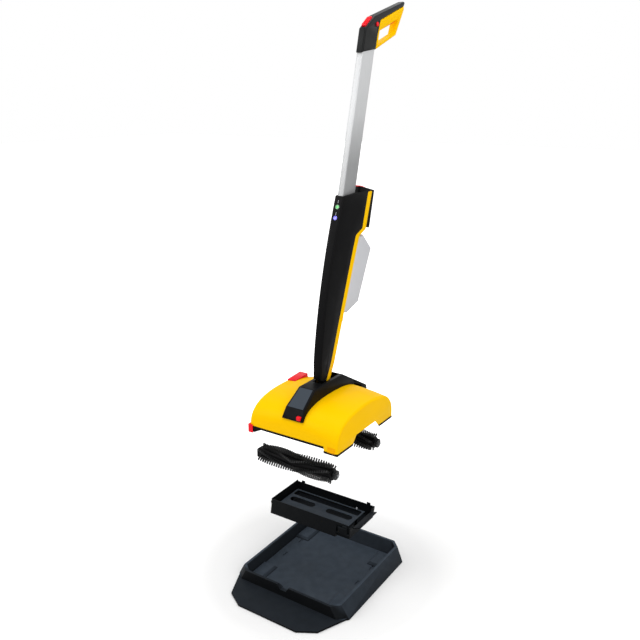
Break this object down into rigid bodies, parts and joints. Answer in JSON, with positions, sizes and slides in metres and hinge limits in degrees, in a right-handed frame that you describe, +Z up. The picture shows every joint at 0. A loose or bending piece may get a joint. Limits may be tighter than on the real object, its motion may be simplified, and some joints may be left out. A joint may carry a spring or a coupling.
{
  "type": "cordless hard floor cleaner",
  "caption": "Cordless hard floor cleaner drawn apart above its docking tray: tilting handle with battery and water bottle, domed brush head, brush rollers and debris tank.",
  "frame": {"origin": "centre of the docking tray's underside, on the floor", "axes": "+Z up from the floor, -Y towards the front of the machine, +Y towards the user, +X to the gear side"},
  "size_m": [0.41, 0.7353, 1.7325],
  "materials": {
    "yellow_plastic": "bright warm yellow, semi-gloss moulded plastic",
    "black_plastic": "satin black moulded plastic",
    "tray_plastic": "satin blue-black moulded plastic",
    "red_plastic": "bright red plastic for what the user operates",
    "bristle": "black nylon bristle",
    "tube_metal": "light grey anodised aluminium, fine satin",
    "steel": "plain steel pins and screws",
    "nylon": "natural nylon gears",
    "bush_metal": "sintered bronze bush",
    "motor_can": "grey motor can",
    "foot_rubber": "black rubber",
    "bottle_plastic": "cloudy translucent plastic",
    "green_lens": "lit green lens",
    "blue_lens": "lit blue-white lens",
    "board": "green circuit board",
    "hose": "flexible hose"
  },
  "bodies": {
    "station": {"station_tray": "tray_plastic", "station_feet": "foot_rubber"},
    "tank": {"debris_tank": "tray_plastic", "tank_deck": "tray_plastic"},
    "tank_clip": {"tank_clip": "tray_plastic"},
    "head": {"head_cover": "yellow_plastic", "edge_trim": "black_plastic", "chassis": "black_plastic", "cover_screws": "steel", "spray_bar": "black_plastic", "feed_hose": "hose", "hinge_pin": "steel", "bridge_cover": "black_plastic", "pedal_pin": "steel", "rocker_pin": "steel", "idler_axles": "steel", "front_drive_motor": "motor_can", "rear_drive_motor": "motor_can"},
    "pedal": {"foot_pedal": "black_plastic"},
    "rocker": {"rocker_lever": "red_plastic"},
    "front_latch": {"front_latch": "red_plastic"},
    "rear_latch": {"rear_latch": "red_plastic"},
    "release": {"release_button": "red_plastic"},
    "handle": {"hinge_foot": "black_plastic", "column_bolt": "steel", "column_shell": "black_plastic", "column_trim": "yellow_plastic", "upright_tube": "tube_metal", "terminal_block": "black_plastic", "pump": "motor_can", "control_board": "board", "handle_shell": "black_plastic", "handle_loop": "yellow_plastic", "trigger_pin": "steel", "green_light": "green_lens", "blue_light": "blue_lens"},
    "trigger": {"trigger": "red_plastic"},
    "thumb_slider": {"thumb_slider": "red_plastic"},
    "side_button": {"side_button": "red_plastic"},
    "battery": {"battery_pack": "black_plastic"},
    "battery_button": {"battery_button": "red_plastic"},
    "bottle": {"water_bottle": "bottle_plastic"},
    "bottle_cap": {"bottle_cap": "yellow_plastic"},
    "front_carrier": {"front_bearing_cap": "black_plastic", "front_bush": "bush_metal"},
    "front_roller": {"front_roller_axle": "steel", "front_roller_core": "black_plastic", "front_roller_tufts": "bristle", "front_roller_gear": "nylon"},
    "front_idler": {"front_idler_gear": "nylon"},
    "front_pinion": {"front_motor_pinion": "steel"},
    "rear_carrier": {"rear_bearing_cap": "black_plastic", "rear_bush": "bush_metal"},
    "rear_roller": {"rear_roller_axle": "steel", "rear_roller_core": "black_plastic", "rear_roller_tufts": "bristle", "rear_roller_gear": "nylon"},
    "rear_idler": {"rear_idler_gear": "nylon"},
    "rear_pinion": {"rear_motor_pinion": "steel"}
  },
  "joints": [
    {"name": "dock_slide", "type": "slide", "parent": "station", "child": "tank", "axis": [0, 0, 1], "range_m": [-0.172, 0]},
    {"name": "head_slide", "type": "slide", "parent": "tank", "child": "head", "axis": [0, 0, 1], "range_m": [-0.306, 0]},
    {"name": "tank_clip_turn", "type": "hinge", "parent": "tank", "child": "tank_clip", "pos_m": [0.1312, -0.0792, 0.21], "axis": [1, 0, 0], "range_deg": [0, 8], "stiffness_Nm_per_rad": 0.3},
    {"name": "handle_tilt", "type": "hinge", "parent": "head", "child": "handle", "pos_m": [0, 0.008, 0.626], "axis": [-1, 0, 0], "range_deg": [0, 40]},
    {"name": "pedal_press", "type": "hinge", "parent": "head", "child": "pedal", "pos_m": [0, 0.135, 0.60571], "axis": [-1, 0, 0], "range_deg": [0, 8], "stiffness_Nm_per_rad": 4, "springref_deg": -5.73},
    {"name": "rocker_tilt", "type": "hinge", "parent": "head", "child": "rocker", "pos_m": [-0.133, 0.06, 0.598], "axis": [1, 0, 0], "range_deg": [-3, 3]},
    {"name": "front_latch_slide", "type": "slide", "parent": "head", "child": "front_latch", "axis": [0, -1, 0], "range_m": [0, 0.005], "stiffness_N_per_m": 300},
    {"name": "rear_latch_slide", "type": "slide", "parent": "head", "child": "rear_latch", "axis": [0, 1, 0], "range_m": [0, 0.005], "stiffness_N_per_m": 300},
    {"name": "release_press", "type": "slide", "parent": "head", "child": "release", "axis": [0, 1, 0], "range_m": [0, 0.003], "stiffness_N_per_m": 400},
    {"name": "front_roller_slide", "type": "slide", "parent": "head", "child": "front_carrier", "axis": [0, 0, 1], "range_m": [0, 0.097]},
    {"name": "front_roller_spin", "type": "hinge", "parent": "front_carrier", "child": "front_roller", "pos_m": [-0.013, -0.122, 0.425], "axis": [1, 0, 0], "continuous": true},
    {"name": "front_idler_spin", "type": "hinge", "parent": "head", "child": "front_idler", "pos_m": [0.1249, -0.122, 0.554], "axis": [1, 0, 0], "continuous": true},
    {"name": "front_pinion_spin", "type": "hinge", "parent": "head", "child": "front_pinion", "pos_m": [0.1249, -0.09418, 0.56145], "axis": [1, 0, 0], "continuous": true},
    {"name": "rear_roller_slide", "type": "slide", "parent": "head", "child": "rear_carrier", "axis": [0, 0, 1], "range_m": [0, 0.097]},
    {"name": "rear_roller_spin", "type": "hinge", "parent": "rear_carrier", "child": "rear_roller", "pos_m": [-0.013, 0.122, 0.425], "axis": [1, 0, 0], "continuous": true},
    {"name": "rear_idler_spin", "type": "hinge", "parent": "head", "child": "rear_idler", "pos_m": [0.1249, 0.122, 0.554], "axis": [1, 0, 0], "continuous": true},
    {"name": "rear_pinion_spin", "type": "hinge", "parent": "head", "child": "rear_pinion", "pos_m": [0.1249, 0.09418, 0.56145], "axis": [1, 0, 0], "continuous": true},
    {"name": "trigger_pull", "type": "hinge", "parent": "handle", "child": "trigger", "pos_m": [0, 0.2926, 1.64598], "axis": [1, 0, 0], "range_deg": [0, 3], "stiffness_Nm_per_rad": 2, "springref_deg": -2.86},
    {"name": "thumb_slide", "type": "slide", "parent": "handle", "child": "thumb_slider", "axis": [0, -0.7902, -0.6128], "range_m": [0, 0.006]},
    {"name": "side_press", "type": "slide", "parent": "handle", "child": "side_button", "axis": [-1, 0, 0], "range_m": [0, 0.0025], "stiffness_N_per_m": 400},
    {"name": "battery_slide", "type": "slide", "parent": "handle", "child": "battery", "axis": [0, 0.2419, 0.9703], "range_m": [0, 0.125]},
    {"name": "battery_press", "type": "slide", "parent": "battery", "child": "battery_button", "axis": [0, -0.2419, -0.9703], "range_m": [0, 0.0025], "stiffness_N_per_m": 600, "springref_m": -0.001},
    {"name": "bottle_slide", "type": "slide", "parent": "handle", "child": "bottle", "axis": [0, 0.9703, -0.2419], "range_m": [0, 0.12]},
    {"name": "cap_turn", "type": "hinge", "parent": "bottle", "child": "bottle_cap", "pos_m": [0, 0.09786, 0.82312], "axis": [0, 0.2419, 0.9703], "range_deg": [0, 180]}
  ],
  "couplings": [
    {"joint": "front_roller_slide", "follows": "head_slide", "ratio": -0.31699},
    {"joint": "rear_roller_slide", "follows": "head_slide", "ratio": -0.31699},
    {"joint": "rear_roller_spin", "follows": "front_roller_spin", "ratio": -1},
    {"joint": "front_idler_spin", "follows": "front_roller_spin", "ratio": -0.66667},
    {"joint": "front_pinion_spin", "follows": "front_roller_spin", "ratio": 1.3333},
    {"joint": "rear_idler_spin", "follows": "front_roller_spin", "ratio": 0.66667},
    {"joint": "rear_pinion_spin", "follows": "front_roller_spin", "ratio": -1.3333}
  ]
}
